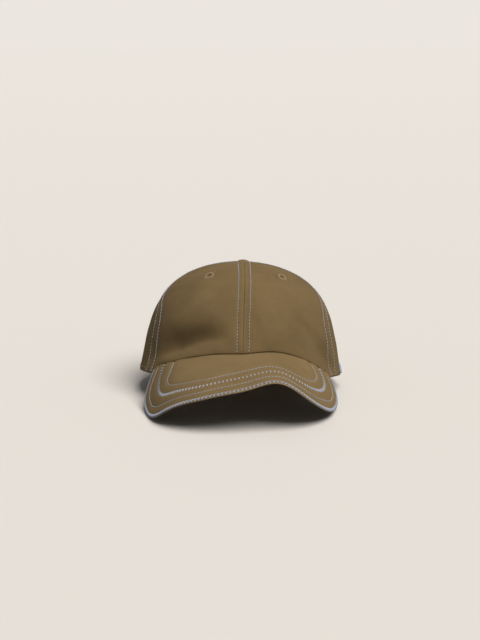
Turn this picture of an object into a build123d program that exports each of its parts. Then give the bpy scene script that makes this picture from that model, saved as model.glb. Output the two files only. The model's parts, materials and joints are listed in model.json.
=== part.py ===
from build123d import *
import os
from math import acos, asin, atan2, cos, degrees, radians, sin

os.makedirs("parts", exist_ok=True)

# A soft six-panel cap with a curved peak, a covered button and an adjustable strap at the back.
# Everything is drawn in the crown's own frame, in millimetres: origin at the centre of the oval
# lower edge, +Z up the crown's axis, -Y to the front, +X to the wearer's left. The last section
# tips the whole cap to how it lies on a table, on the strap and the corners of the peak.

# Driving dimensions: crown
RADIUS = 93.5            # of the round lower edge
CROWN_HEIGHT = 98.0
WALL_LEAN = 6.0          # degrees that the wall leans in
SHOULDER = 62.0
TOP_RADIUS = 110.0
FABRIC = 1.0             # one ply of panel twill with its turned seams
SEAM_STEP = 60           # degrees from one panel seam to the next, six panels in all

# Driving dimensions: how the cap lies
TILT = 9.7               # degrees that the front is lifted
ROLL = 2.0               # degrees that the wearer's right side is lifted

# Driving dimensions: peak. Heights of its upper face across two straight lines, one close to
# the crown and one near the front edge; between them the peak is straight in Y.
ARCH_STATIONS = (-90, -75, -50, -25, 0, 25, 50, 70, 86)
ARCH_AT_CROWN = (-12, 9.5, 28, 35.5, 35, 33.5, 28, 12, -9)
ARCH_AT_FRONT = (-76, -41, -13.5, -2.5, 3.5, 7.5, -9, -35, -64)
CROWN_LINE_Y = -50.0
FRONT_LINE_Y = -150.0
PEAK_START_Y = -36.0     # the peak's surface is made from here ...
PEAK_END_Y = -172.0      # ... to here, and trimmed to the outline
PEAK_OUTLINE = (
    (-81, -46),
    (-88, -62),
    (-87.5, -88),
    (-77, -122),
    (-45, -156),
    (0, -164.5),
    (45, -155),
    (71, -122),
    (82, -88),
    (83.5, -62),
    (78, -48),
)
COVER_TOP = 0.8
BOARD = 1.1
COVER_BOTTOM = 0.8
BOARD_INSET = 2.0
ROW_SIDE_STEP = 9.5      # plan distance between stitch rows at the sides
ROW_FRONT_STEP = 11.8    # and at the front
FIRST_ROW_INSET = 1.5
ROW_COUNT = 4
THREAD = 0.35            # how far stitching stands proud
BRIM_THREAD_WIDTH = 1.8

# Driving dimensions: trims
GLUE_LINE = 0.05         # space left between two layers that only touch
TOPSTITCH_START = 4.5
STITCH_OFFSET = 4.8      # each topstitch line from its seam
STITCH_WIDTH = 0.8
BUTTON_RADIUS = 6.5
BUTTON_HEIGHT = 3.2
PRONG_RADIUS = 1.1
EYELET_OUTER = 4.0
EYELET_INNER = 1.5
EYELET_REACH = 49.0      # plan distance of an eyelet from the crown's axis
RIM_STITCH_HEIGHT = 2.6
RIM_STITCH_FRONT = -42.0
TAPE_HALF_WIDTH = 6.0
TAPE = 0.6
RIM_TAPE_HEIGHT = 9.0
BAND_HEIGHT = 33.0
BAND = 1.2
BAND_DEPTH = 3.2         # sweatband's outer face inside the crown's outer face

# Driving dimensions: back opening, strap and buckle
GAP_HALF_WIDTH = 45.0
GAP_HEIGHT = 43.0
BINDING = 3.0
STRAP_LOW = 3.2
STRAP_HIGH = 23.2
STRAP_DEPTH = 1.4
STRAP = 1.0
STRAP_REACH = 58.0       # the strap's ends lie this far either side of the back seam
BUCKLE_X = 21.0
FRAME_BACK = -5.2
FRAME_FRONT = 2.2
FRAME_HALF_HEIGHT = 12.6
TUNNEL_HALF_HEIGHT = 10.8
PIN_RADIUS = 0.6
PIN_CLEARANCE = 0.05
FAR = 220.0


# The crown's side is a leaning straight wall, a round shoulder and a flatter round top, each
# tangent to the next. The shoulder's centre lies SHOULDER inside the wall, and as far from the
# top's centre as the two radii differ.
LEAN_ANGLE = radians(WALL_LEAN)
TOP_CENTRE = CROWN_HEIGHT - TOP_RADIUS
FOOT_X = RADIUS - SHOULDER * cos(LEAN_ANGLE)
FOOT_Z = -SHOULDER * sin(LEAN_ANGLE) - TOP_CENTRE
HALF_B = FOOT_Z * cos(LEAN_ANGLE) - FOOT_X * sin(LEAN_ANGLE)
CLIMB = (HALF_B**2 - FOOT_X**2 - FOOT_Z**2 + (TOP_RADIUS - SHOULDER) ** 2) ** 0.5 - HALF_B
SHOULDER_X = FOOT_X - CLIMB * sin(LEAN_ANGLE)
SHOULDER_Z = FOOT_Z + TOP_CENTRE + CLIMB * cos(LEAN_ANGLE)
TOP_ANGLE = degrees(atan2(SHOULDER_Z - TOP_CENTRE, SHOULDER_X))


def crown_side(depth):
    """Draw the crown's side, a depth inside its outer face, and return its two ends."""
    foot = (RADIUS - depth / cos(LEAN_ANGLE), 0)
    reach = SHOULDER - depth
    knee = (SHOULDER_X + reach * cos(LEAN_ANGLE), SHOULDER_Z + reach * sin(LEAN_ANGLE))
    Line(foot, knee)
    CenterArc((SHOULDER_X, SHOULDER_Z), reach, WALL_LEAN, TOP_ANGLE - WALL_LEAN)
    CenterArc((0, TOP_CENTRE), TOP_RADIUS - depth, TOP_ANGLE, 90 - TOP_ANGLE)
    return foot, (0, CROWN_HEIGHT - depth)


def shell(outer, inner):
    """Bowl-shaped layer between two depths below the crown's outer face."""
    with BuildPart() as layer:
        with BuildSketch(Plane.XZ):
            with BuildLine():
                outer_foot, outer_top = crown_side(outer)
                inner_foot, inner_top = crown_side(inner)
                Line(outer_foot, inner_foot)
                Line(outer_top, inner_top)
            make_face()
        revolve(axis=Axis.Z)
    return layer.part


def heading(angle, distance):
    """Plan point at an angle from straight ahead, turning towards the wearer's left."""
    return (distance * sin(radians(angle)), -distance * cos(radians(angle)))


def wedge(start, end):
    """Upright slice of space between two seam planes."""
    corners = [heading(angle, FAR) for angle in (start, (start + end) / 2, end)]
    with BuildPart() as slice_of_space:
        with BuildSketch(Plane.XY.offset(-FAR / 2)):
            Polygon((0, 0), *corners, align=None)
        extrude(amount=FAR)
    return slice_of_space.part


def seam_strip(angle, offset, width, start):
    """Upright slab along one seam plane, from a distance off the crown's axis outwards."""
    turned = Plane(origin=(0, 0, -FAR / 2), x_dir=(*heading(angle, 1), 0), z_dir=(0, 0, 1))
    with BuildPart() as strip:
        with BuildSketch(turned):
            with Locations((start, offset)):
                Rectangle(FAR, width, align=(Align.MIN, Align.CENTER))
        extrude(amount=FAR)
    return strip.part


def peak_line(y):
    """Curve across the peak's upper face at one distance to the front."""
    share = (y - CROWN_LINE_Y) / (FRONT_LINE_Y - CROWN_LINE_Y)
    length = ARCH_STATIONS[-1] - ARCH_STATIONS[0]
    points = []
    for x, near, front in zip(ARCH_STATIONS, ARCH_AT_CROWN, ARCH_AT_FRONT):
        points.append((x, y, near + (front - near) * share))
    stations = [(x - ARCH_STATIONS[0]) / length for x in ARCH_STATIONS]
    return Edge.make_spline(points, parameters=stations)


PEAK_FACE = Face.make_surface_from_curves(peak_line(PEAK_START_Y), peak_line(PEAK_END_Y))


def peak_layer(high, low):
    """Slab that follows the peak's upper face, between two heights from it."""
    with BuildPart() as slab:
        extrude(PEAK_FACE.moved(Location((0, 0, high))), amount=high - low, dir=(0, 0, -1))
    return slab.part


def outline_points(side_inset, front_inset):
    """The peak's plan outline, drawn in by one distance at the sides and one at the front."""
    root = PEAK_OUTLINE[0][1]
    side = 1 - side_inset / RADIUS
    front = 1 - front_inset / (root - min(y for _, y in PEAK_OUTLINE))
    return [(x * side, root + (y - root) * front) for x, y in PEAK_OUTLINE]


def outline_block(side_inset, front_inset):
    """Upright block of the peak's plan outline."""
    points = outline_points(side_inset, front_inset)
    with BuildPart() as block:
        with BuildSketch(Plane.XY.offset(-FAR / 2)):
            with BuildLine():
                Spline(*points)
                Line(points[-1], points[0])
            make_face()
        extrude(amount=FAR)
    return block.part


def crown_block(depth):
    """Upright cylinder, a depth inside the crown's lower edge."""
    with BuildPart() as block:
        Cylinder(RADIUS - depth, FAR)
    return block.part


def rim_zone(height):
    """Everything lower than a height above the crown's lower edge, which arches over the peak."""
    with BuildPart() as zone:
        with Locations((0, 0, height)):
            Box(FAR, FAR, FAR / 2, align=(Align.CENTER, Align.CENTER, Align.MAX))
        add(peak_layer(height, height - FAR / 2))
    return zone.part


def gap_block(grow):
    """Half-moon opening at the back, grown outwards, as a block that runs out backwards."""
    with BuildPart() as block:
        with BuildSketch(Plane.XZ.offset(-RADIUS / 2)):
            Ellipse(GAP_HALF_WIDTH + grow, GAP_HEIGHT + grow)
        extrude(amount=-FAR / 2)
    return block.part


def level_slab(low, high):
    """Space between two heights."""
    with BuildPart() as slab:
        with Locations((0, 0, low)):
            Box(FAR, FAR, high - low, align=(Align.CENTER, Align.CENTER, Align.MIN))
    return slab.part


pieces = {}
RIM = rim_zone(0)
GAP = gap_block(0)
WALL = shell(0, FABRIC)
THREAD_SKIN = shell(-THREAD, -GLUE_LINE)

# Eyelets: one stitched ring on each panel's shoulder, square to the cloth.
EYELET_SLOPE = acos(EYELET_REACH / TOP_RADIUS)
EYELET_HEIGHT = TOP_CENTRE + TOP_RADIUS * sin(EYELET_SLOPE)
eyelet_planes = []
for index in range(6):
    east, north = heading(SEAM_STEP * (index + 0.5), 1)
    spot = (EYELET_REACH * east, EYELET_REACH * north, EYELET_HEIGHT)
    flat = cos(EYELET_SLOPE)
    eyelet_planes.append(Plane(origin=spot, z_dir=(flat * east, flat * north, sin(EYELET_SLOPE))))


def studs(radius):
    """A short cylinder through the cloth at each eyelet."""
    with BuildPart() as pins:
        for plane in eyelet_planes:
            with BuildSketch(plane.offset(-8)):
                Circle(radius)
            extrude(amount=16)
    return pins.part


EYELET_HOLES = studs(EYELET_OUTER)
with BuildPart() as eyelets:
    add(shell(-0.5, FABRIC + 0.4))
    add(EYELET_HOLES, mode=Mode.INTERSECT)
    add(studs(EYELET_INNER), mode=Mode.SUBTRACT)
pieces["eyelets"] = eyelets.part

# Panels
PANELS = {
    "front_left_panel": 0,
    "side_left_panel": 1,
    "back_left_panel": 2,
    "back_right_panel": 3,
    "side_right_panel": 4,
    "front_right_panel": 5,
}
with BuildPart() as crown_cloth:
    add(WALL)
    add(RIM, mode=Mode.SUBTRACT)
    add(gap_block(BINDING), mode=Mode.SUBTRACT)
    add(EYELET_HOLES, mode=Mode.SUBTRACT)
    with Locations((0, 0, CROWN_HEIGHT)):
        Cylinder(PRONG_RADIUS, 4 * FABRIC, mode=Mode.SUBTRACT)
for name, place in PANELS.items():
    with BuildPart() as panel:
        add(crown_cloth.part)
        add(wedge(SEAM_STEP * place, SEAM_STEP * (place + 1)), mode=Mode.INTERSECT)
    pieces[name] = panel.part

# Topstitching either side of each seam, and the tape that covers the seam inside
with BuildPart() as seam_lines:
    for place in range(6):
        for side in (-1, 1):
            offset = side * STITCH_OFFSET
            add(seam_strip(SEAM_STEP * place, offset, STITCH_WIDTH, 2 * STITCH_OFFSET + 1))
with BuildPart() as crown_topstitch:
    add(THREAD_SKIN)
    add(seam_lines.part, mode=Mode.INTERSECT)
    add(rim_zone(TOPSTITCH_START), mode=Mode.SUBTRACT)
    add(gap_block(BINDING + 1), mode=Mode.SUBTRACT)
pieces["crown_topstitch"] = crown_topstitch.part

with BuildPart() as seam_cover:
    for place in range(6):
        add(seam_strip(SEAM_STEP * place, 0, 2 * TAPE_HALF_WIDTH, 2 * TAPE_HALF_WIDTH))
with BuildPart() as seam_tapes:
    add(shell(FABRIC + GLUE_LINE, FABRIC + TAPE))
    add(seam_cover.part, mode=Mode.INTERSECT)
    add(rim_zone(RIM_TAPE_HEIGHT + 1), mode=Mode.SUBTRACT)
    add(gap_block(BINDING + 1), mode=Mode.SUBTRACT)
pieces["seam_tapes"] = seam_tapes.part

# Covered button: cloth cap, metal core with its prong, and the plate that holds it inside
BUTTON_BALL = (BUTTON_RADIUS**2 + BUTTON_HEIGHT**2) / (2 * BUTTON_HEIGHT)
BALL_CENTRE = CROWN_HEIGHT + BUTTON_HEIGHT - BUTTON_BALL
BUTTON_CLOTH = 0.8
ABOVE_CROWN = level_slab(CROWN_HEIGHT + GLUE_LINE, FAR)
with BuildPart() as button_cover:
    with Locations((0, 0, BALL_CENTRE)):
        Sphere(BUTTON_BALL)
        Sphere(BUTTON_BALL - BUTTON_CLOTH, mode=Mode.SUBTRACT)
    add(ABOVE_CROWN, mode=Mode.INTERSECT)
pieces["button_cover"] = button_cover.part

with BuildPart() as button_core:
    with Locations((0, 0, BALL_CENTRE)):
        Sphere(BUTTON_BALL - BUTTON_CLOTH - GLUE_LINE)
    add(ABOVE_CROWN, mode=Mode.INTERSECT)
    with BuildSketch(Plane.XY.offset(CROWN_HEIGHT + 1)):
        Circle(PRONG_RADIUS - GLUE_LINE)
    extrude(amount=-4.5)
pieces["button_core"] = button_core.part

PLATE_TOP = CROWN_HEIGHT - FABRIC - 0.15
with BuildPart() as button_back_plate:
    with BuildSketch(Plane.XY.offset(PLATE_TOP)):
        Circle(BUTTON_RADIUS - 0.5)
        Circle(PRONG_RADIUS, mode=Mode.SUBTRACT)
    extrude(amount=-0.9)
    fillet(button_back_plate.edges().filter_by(GeomType.CIRCLE).group_by(Axis.Z)[0][-1:], 0.3)
pieces["button_back_plate"] = button_back_plate.part

# Rim tape sewn round the lower edge, and the sweatband inside it
with BuildPart() as rim_tape:
    add(shell(FABRIC + GLUE_LINE, BAND_DEPTH - GLUE_LINE))
    add(rim_zone(RIM_TAPE_HEIGHT), mode=Mode.INTERSECT)
    add(rim_zone(GLUE_LINE), mode=Mode.SUBTRACT)
    with Locations((0, RADIUS, 0)):
        Box(2 * STRAP_REACH + 8, RADIUS, FAR, mode=Mode.SUBTRACT)
pieces["rim_tape"] = rim_tape.part

with BuildPart() as sweatband:
    add(shell(BAND_DEPTH, BAND_DEPTH + BAND))
    add(rim_zone(BAND_HEIGHT), mode=Mode.INTERSECT)
    add(rim_zone(0.8), mode=Mode.SUBTRACT)
    add(gap_block(BINDING), mode=Mode.SUBTRACT)
pieces["sweatband"] = sweatband.part

# Stitch line that fixes the band, seen just above the lower edge behind the peak
with BuildPart() as rim_stitch:
    add(THREAD_SKIN)
    add(level_slab(RIM_STITCH_HEIGHT, RIM_STITCH_HEIGHT + STITCH_WIDTH), mode=Mode.INTERSECT)
    with Locations((0, RIM_STITCH_FRONT, 0)):
        Box(FAR, FAR, FAR, align=(Align.CENTER, Align.MIN, Align.CENTER), mode=Mode.INTERSECT)
    add(gap_block(BINDING + 1), mode=Mode.SUBTRACT)
pieces["rim_stitch"] = rim_stitch.part

# Folded binding round the half-moon opening
with BuildPart() as back_arch_binding:
    add(shell(-0.5, FABRIC + 0.3))
    add(gap_block(BINDING - GLUE_LINE), mode=Mode.INTERSECT)
    add(GAP, mode=Mode.SUBTRACT)
    add(RIM, mode=Mode.SUBTRACT)
pieces["back_arch_binding"] = back_arch_binding.part

# Peak: stiff board between an upper and a lower cover
UNDER_CROWN = crown_block(BAND_DEPTH + BAND)
FULL_OUTLINE = outline_block(0, 0)
BOARD_OUTLINE = outline_block(BOARD_INSET, BOARD_INSET)
CORE_LOW = -COVER_TOP - BOARD
with BuildPart() as peak_board:
    add(peak_layer(-COVER_TOP - GLUE_LINE, CORE_LOW + GLUE_LINE))
    add(BOARD_OUTLINE, mode=Mode.INTERSECT)
    add(UNDER_CROWN, mode=Mode.SUBTRACT)
pieces["peak_board"] = peak_board.part

with BuildPart() as peak_top_cover:
    add(peak_layer(0, -COVER_TOP))
    add(FULL_OUTLINE, mode=Mode.INTERSECT)
    add(UNDER_CROWN, mode=Mode.SUBTRACT)
pieces["peak_top_cover"] = peak_top_cover.part

with BuildPart() as peak_bottom_cover:
    add(peak_layer(CORE_LOW, CORE_LOW - COVER_BOTTOM))
    add(FULL_OUTLINE, mode=Mode.INTERSECT)
    add(UNDER_CROWN, mode=Mode.SUBTRACT)
pieces["peak_bottom_cover"] = peak_bottom_cover.part

# Rows of stitching that follow the peak's edge
STITCH_SKIN = peak_layer(THREAD, GLUE_LINE)
CROWN_FOOT = crown_block(-1.0)
for row in range(ROW_COUNT):
    side = FIRST_ROW_INSET + ROW_SIDE_STEP * row
    front = FIRST_ROW_INSET + ROW_FRONT_STEP * row
    with BuildPart() as peak_stitch:
        add(STITCH_SKIN)
        add(outline_block(side, front), mode=Mode.INTERSECT)
        inner = outline_block(side + BRIM_THREAD_WIDTH, front + BRIM_THREAD_WIDTH)
        add(inner, mode=Mode.SUBTRACT)
        add(CROWN_FOOT, mode=Mode.SUBTRACT)
    pieces[f"peak_stitch_{row + 1}"] = peak_stitch.part

# Strap across the opening, its ends inside the back panels
with BuildPart() as strap:
    add(shell(STRAP_DEPTH, STRAP_DEPTH + STRAP))
    add(level_slab(STRAP_LOW, STRAP_HIGH), mode=Mode.INTERSECT)
    with Locations((0, RADIUS, 0)):
        Box(2 * STRAP_REACH, 2 * RADIUS, FAR, mode=Mode.INTERSECT)
pieces["strap"] = strap.part

# Cam buckle on the strap. Its plane lies on the strap's outer face: x along the strap towards
# the wearer's left, y down the crown, z outwards.
MIDDLE = (STRAP_LOW + STRAP_HIGH) / 2
STRAP_RADIUS = RADIUS - (STRAP_DEPTH + MIDDLE * sin(LEAN_ANGLE)) / cos(LEAN_ANGLE)
TURN = asin(BUCKLE_X / STRAP_RADIUS)
OUTWARDS = Vector(
    sin(TURN) * cos(LEAN_ANGLE), cos(TURN) * cos(LEAN_ANGLE), sin(LEAN_ANGLE)
)
ALONG = Vector(-cos(TURN), sin(TURN), 0)
BUCKLE = Plane(
    origin=(BUCKLE_X, STRAP_RADIUS * cos(TURN), MIDDLE), x_dir=-ALONG, z_dir=OUTWARDS
)
HINGE_X = -6.0
HINGE_Z = 2.0
BARREL = 1.3


def buckle_block(x_low, x_high, half_height, z_low, z_high):
    """Block in the buckle's plane."""
    with BuildPart() as block:
        with BuildSketch(BUCKLE.offset(z_low)):
            with Locations(((x_low + x_high) / 2, 0)):
                Rectangle(x_high - x_low, 2 * half_height)
        extrude(amount=z_high - z_low)
    return block.part


def buckle_rod(x, z, radius, half_length):
    """Round rod across the buckle's plane."""
    middle = BUCKLE.from_local_coords(Vector(x, 0, z))
    across = Plane(origin=middle, x_dir=BUCKLE.x_dir, z_dir=BUCKLE.y_dir)
    with BuildPart() as rod:
        with BuildSketch(across.offset(-half_length)):
            Circle(radius)
        extrude(amount=2 * half_length)
    return rod.part


TALL = FRAME_HALF_HEIGHT
INSIDE = TUNNEL_HALF_HEIGHT
with BuildPart() as buckle_frame:
    add(buckle_block(-11, 16, TALL, FRAME_BACK, FRAME_FRONT))
    add(buckle_block(-12, 17, INSIDE, FRAME_BACK + 1.4, 0.5), mode=Mode.SUBTRACT)
    add(buckle_block(-8.5, 8.2, INSIDE, 0, FRAME_FRONT + 1), mode=Mode.SUBTRACT)
    add(buckle_block(11, 17, INSIDE, 0, FRAME_FRONT + 1), mode=Mode.SUBTRACT)
    add(buckle_block(-8.5, 8.2, INSIDE, FRAME_BACK - 1, -1), mode=Mode.SUBTRACT)
    add(buckle_block(11, 14, INSIDE, FRAME_BACK - 1, -1), mode=Mode.SUBTRACT)
    add(buckle_rod(HINGE_X, HINGE_Z, PIN_RADIUS, TALL - 0.8), mode=Mode.SUBTRACT)
pieces["buckle_frame"] = buckle_frame.part

pieces["buckle_pin"] = buckle_rod(HINGE_X, HINGE_Z, PIN_RADIUS, TALL - 0.8)

LEVER_HALF = TUNNEL_HALF_HEIGHT - 0.4
with BuildPart() as buckle_lever:
    add(buckle_rod(HINGE_X, HINGE_Z, BARREL, LEVER_HALF))
    add(buckle_block(HINGE_X, 10.5, LEVER_HALF, HINGE_Z + BARREL - 0.9, HINGE_Z + BARREL))
    add(
        buckle_rod(HINGE_X, HINGE_Z, PIN_RADIUS + PIN_CLEARANCE, LEVER_HALF + 1),
        mode=Mode.SUBTRACT,
    )
pieces["buckle_lever"] = buckle_lever.part

# Keeper: a loop of cloth round the buckle's last bar, sewn to the wearer's left back panel
KEEPER = 0.8
BAR_START = 14
BAR_END = 16
BAR_HIGH = FRAME_BACK + 1.4
KEEPER_HALF = INSIDE - 0.8
LOOP_END = BUCKLE.from_local_coords(Vector(BAR_END + KEEPER / 2, 0, 0)).X
with BuildPart() as keeper_tail:
    add(shell(STRAP_DEPTH + STRAP + GLUE_LINE, BAND_DEPTH - GLUE_LINE))
    add(level_slab(STRAP_LOW + 1.2, STRAP_HIGH - 1.2), mode=Mode.INTERSECT)
    with Locations((LOOP_END, RADIUS, 0)):
        Box(
            STRAP_REACH - LOOP_END,
            RADIUS,
            FAR,
            align=(Align.MIN, Align.CENTER, Align.CENTER),
            mode=Mode.INTERSECT,
        )
with BuildPart() as buckle_keeper:
    add(
        buckle_block(
            BAR_START - KEEPER,
            BAR_END + KEEPER,
            KEEPER_HALF,
            FRAME_BACK - KEEPER,
            BAR_HIGH + KEEPER,
        )
    )
    add(buckle_block(BAR_START, BAR_END, INSIDE, FRAME_BACK, BAR_HIGH), mode=Mode.SUBTRACT)
    add(keeper_tail.part)
pieces["buckle_keeper"] = buckle_keeper.part

# Plain labels: a tab at the wearer's left edge, and two blank ones on the sweatband
with BuildPart() as side_label:
    add(shell(-2 * THREAD, -THREAD - GLUE_LINE))
    add(level_slab(0.5, 8.5), mode=Mode.INTERSECT)
    add(seam_strip(84, 0, 12, 0), mode=Mode.INTERSECT)
pieces["side_label"] = side_label.part

for name, angle, width, low, high in (
    ("size_label", 140, 16, 6, 24),
    ("care_label", 100, 26, 4, 30),
):
    with BuildPart() as label:
        add(shell(BAND_DEPTH + BAND + GLUE_LINE, BAND_DEPTH + BAND + 0.4))
        add(level_slab(low, high), mode=Mode.INTERSECT)
        add(seam_strip(angle, 0, width, 0), mode=Mode.INTERSECT)
    pieces[name] = label.part

# Tip the cap to how it lies, and put the origin under the middle of its box
LEAN = Rot(-TILT, 0, 0) * Rot(0, ROLL, 0)
boxes = [(LEAN * part).bounding_box() for part in pieces.values()]
middle_x = (min(box.min.X for box in boxes) + max(box.max.X for box in boxes)) / 2
middle_y = (min(box.min.Y for box in boxes) + max(box.max.Y for box in boxes)) / 2
bottom = min(box.min.Z for box in boxes)
SEAT = Pos(-middle_x, -middle_y, -bottom) * LEAN
for name, part in pieces.items():
    placed = SEAT * part
    placed.label = name
    export_step(placed, f"parts/{name}.step")

HINGE_POINT = BUCKLE.from_local_coords(Vector(HINGE_X, 0, HINGE_Z))
for title, spot in (
    ("crown centre", (SEAT * Pos(0, 0, 0)).position),
    ("hinge point", (SEAT * Pos(*HINGE_POINT)).position),
    ("hinge axis", (LEAN * Pos(*BUCKLE.y_dir)).position),
):
    print(title, round(spot.X, 4), round(spot.Y, 4), round(spot.Z, 4))
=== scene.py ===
import json
import math

import bpy
import numpy as np
from mathutils import Matrix, Vector


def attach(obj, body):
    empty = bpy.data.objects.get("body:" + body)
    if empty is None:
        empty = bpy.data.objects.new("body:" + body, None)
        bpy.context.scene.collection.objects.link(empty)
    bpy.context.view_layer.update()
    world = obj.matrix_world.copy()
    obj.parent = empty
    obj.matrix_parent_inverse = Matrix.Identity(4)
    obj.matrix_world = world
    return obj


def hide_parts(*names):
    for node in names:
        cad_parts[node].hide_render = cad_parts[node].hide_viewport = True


# A soft six-panel cap with a curved, stitched peak. Shapes are worked out in the crown's own
# frame, in millimetres (+Z up the crown's axis, -Y to the front, +X to the wearer's left), and
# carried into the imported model's frame by to_row(). Angles round the crown are measured from
# straight ahead, positive towards the wearer's left.

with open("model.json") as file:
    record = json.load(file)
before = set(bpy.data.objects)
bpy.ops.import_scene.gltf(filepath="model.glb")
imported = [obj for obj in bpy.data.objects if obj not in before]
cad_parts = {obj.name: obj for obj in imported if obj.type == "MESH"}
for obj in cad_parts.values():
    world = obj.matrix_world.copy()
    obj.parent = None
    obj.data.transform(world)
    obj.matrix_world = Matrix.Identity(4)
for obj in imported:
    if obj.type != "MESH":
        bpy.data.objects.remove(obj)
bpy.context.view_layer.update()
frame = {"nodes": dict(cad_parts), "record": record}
MM = 0.001
RANDOM = np.random.default_rng(7)

# Where the crown sits: the record's head_opening mount gives its centre and its axis
head_opening = next(m for m in frame["record"]["mounts"] if m["name"] == "head_opening")
CENTRE = Vector(head_opening["pos_m"])
DOWN = Vector(head_opening["axis"])
ROLL = math.asin(-DOWN.x)
TILT = math.atan2(-DOWN.y, -DOWN.z)
TO_ROW = (
    Matrix.Translation(CENTRE)
    @ Matrix.Rotation(-TILT, 4, "X")
    @ Matrix.Rotation(ROLL, 4, "Y")
)

# Crown
HALF_WIDTH = 93.5
FRONT_REACH = 97.0
BACK_REACH = 93.5
HEIGHT = 101.0
WALL_LEAN = 0.17  # share of its reach that the wall loses on the way up
ROUNDNESS = 4.4  # higher is a flatter top over a steeper wall
RIM_FLARE = 0.012  # share of its reach that the cloth gains at the rim
FLARE_H = 0.04
CLOTH = 1.0
TOP_H = 0.9997  # the panels end just short of the crown's axis
PEAK_SPREAD = 0.36  # cosine of the angle where the peak's ends meet the rim
SEAM_HEIGHTS = (0, 0.35, 0.58, 0.75, 1)
SEAMS = {  # degrees, at those shares of the height
    "front": (-1.9, -2.0, -1.9, -1.5, -0.8),
    "front_left": (64.5, 62, 68, 82, 99),
    "back_left": (122, 123, 127, 133, 142),
    "back": (180, 180, 180, 180, 180),
    "back_right": (238, 237, 233, 227, 218),
    "front_right": (293.5, 293, 287, 271, 256),
}
PANELS = {
    "front_left_panel": ("front", "front_left"),
    "side_left_panel": ("front_left", "back_left"),
    "back_left_panel": ("back_left", "back"),
    "back_right_panel": ("back", "back_right"),
    "side_right_panel": ("back_right", "front_right"),
    "front_right_panel": ("front_right", "front"),
}
STITCH_OFFSET = 5.5
EYELETS = (  # degrees, share of the height, size, lean to the level
    (39.9, 0.879, 1.08, 0.2),
    (-38.9, 0.876, 1.12, 0.2),
    (107, 0.79, 1.0, 0),
    (156, 0.85, 1.0, 0),
    (-156, 0.85, 1.0, 0),
    (-110, 0.79, 1.0, 0),
)
EYELET_RADIUS = 3.15  # to the middle of the ring of stitches
EYELET_WIDTH = 1.4  # half the ring's width
EYELET_RISE = 0.8
EYELET_STITCHES = 38

# Folds of the limp cloth: outward push, place across the fold, width above and width below
RIGHT_FOLDS = (
    (-7.0, 0, 12, 5.5),
    (2.2, 27, 13, 13),
    (1.4, -13, 7, 7),
)
LEFT_FOLDS = (
    (-1.5, 0, 5, 5),
    (1.1, 9, 6, 6),
)
CREASE_MIDDLE = (48.6, 51.8)  # x and height of the crease at the wearer's left
CREASE_ACROSS = (0.81, 0.587)  # direction square to that crease

# Button
BUTTON_TOP = HEIGHT + 1.9
BUTTON_RADIUS = 6.6
BUTTON_DROP = 2.7
BUTTON_CLOTH = 0.8

# Peak: heights of its upper face over two lines across it, straight between them
ARCH_STATIONS = (-90, -75, -50, -25, 0, 25, 50, 70, 86)
ARCH_AT_CROWN = (-12, 9.5, 28, 35.5, 35, 33.5, 28, 12, -9)
ARCH_AT_FRONT = (-76, -41, -13.5, -2.5, 3.5, 7.5, -9, -35, -64)
CROWN_LINE_Y = -50.0
FRONT_LINE_Y = -150.0
PEAK_OUTLINE = (
    (-81, -46),
    (-88, -62),
    (-87.5, -88),
    (-77, -122),
    (-45, -156),
    (0, -164.5),
    (45, -155),
    (71, -122),
    (82, -88),
    (83.5, -62),
    (78, -48),
)
PEAK_GAP = 0.9  # between the peak's upper face and the crown's folded edge
TOP_COVER_FOOT = -1.25  # depths of the peak's layers below its upper face
BOARD_TOP = -1.27
BOARD_FOOT = -1.45
BOTTOM_COVER_TOP = -1.5
PEAK_FOOT = -2.7
BOARD_MARGIN = 6.0
ROWS = (2.2, 13.2, 24.7, 36.2)  # distances of the stitching from the edge, over the cloth
ROWS_END = 48.0  # where the channel behind the last row ends

# How the rows stray from an even distance: a factor round the front, and a shift at the sides
CROWDING_ANGLES = (-90, -60, -35, -15, 12, 30, 45, 65, 90)
CROWDING = (1, 1, 1.14, 1.02, 0.91, 1.06, 1.14, 1, 1)
SIDE_DISTANCES = (0, 1.7, 9, 22, 34, 50)
SIDE_SHIFTS = (0, 0, 4.2, 2.6, 2.2, 0)

# Inside: depths below the crown's outer face, and thicknesses
TAPE_HALF = 5.8
TAPE_DEPTH = 1.15
TAPE_THICK = 0.5
RIM_TAPE_DEPTH = 1.1
RIM_TAPE_THICK = 1.2
BAND_END = 150  # degrees to each side where the sweatband stops
BAND_HIGH = 33
BAND_DEPTH = 2.6
BAND_THICK = 1.1
LABEL_DEPTH = 4.75
LABEL_THICK = 0.4
LABEL_RADIUS = 88

# Back opening and closure
GAP_HALF_WIDTH = 45.0
GAP_HEIGHT = 43.0
BINDING = 3.0
BINDING_HALF = 1.9  # half the folded binding's width
BINDING_RISE = 1.15  # half its thickness
RIM_STITCH_HEIGHT = 3.4
STRAP_LOW = 3.2
STRAP_HIGH = 23.2
STRAP_REACH = 58.0
STRAP_DEPTH = 1.4
STRAP_THICK = 0.9
STRAP_STITCH = 1.8  # from the strap's edge to its stitching
TAIL_DEPTH = 2.75
TAIL_THICK = 1.4
BUCKLE_X = 21.0
BUCKLE_LEAN = math.radians(6)
KEEPER_X = 15.0  # middle of the loop on the buckle's own axes
KEEPER_OUT = -4.5
KEEPER_HALF = 9.8

# Mesh detail
THREAD_SIDES = 6
THREAD_RINGS = 7


# ---- shape helpers


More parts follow.
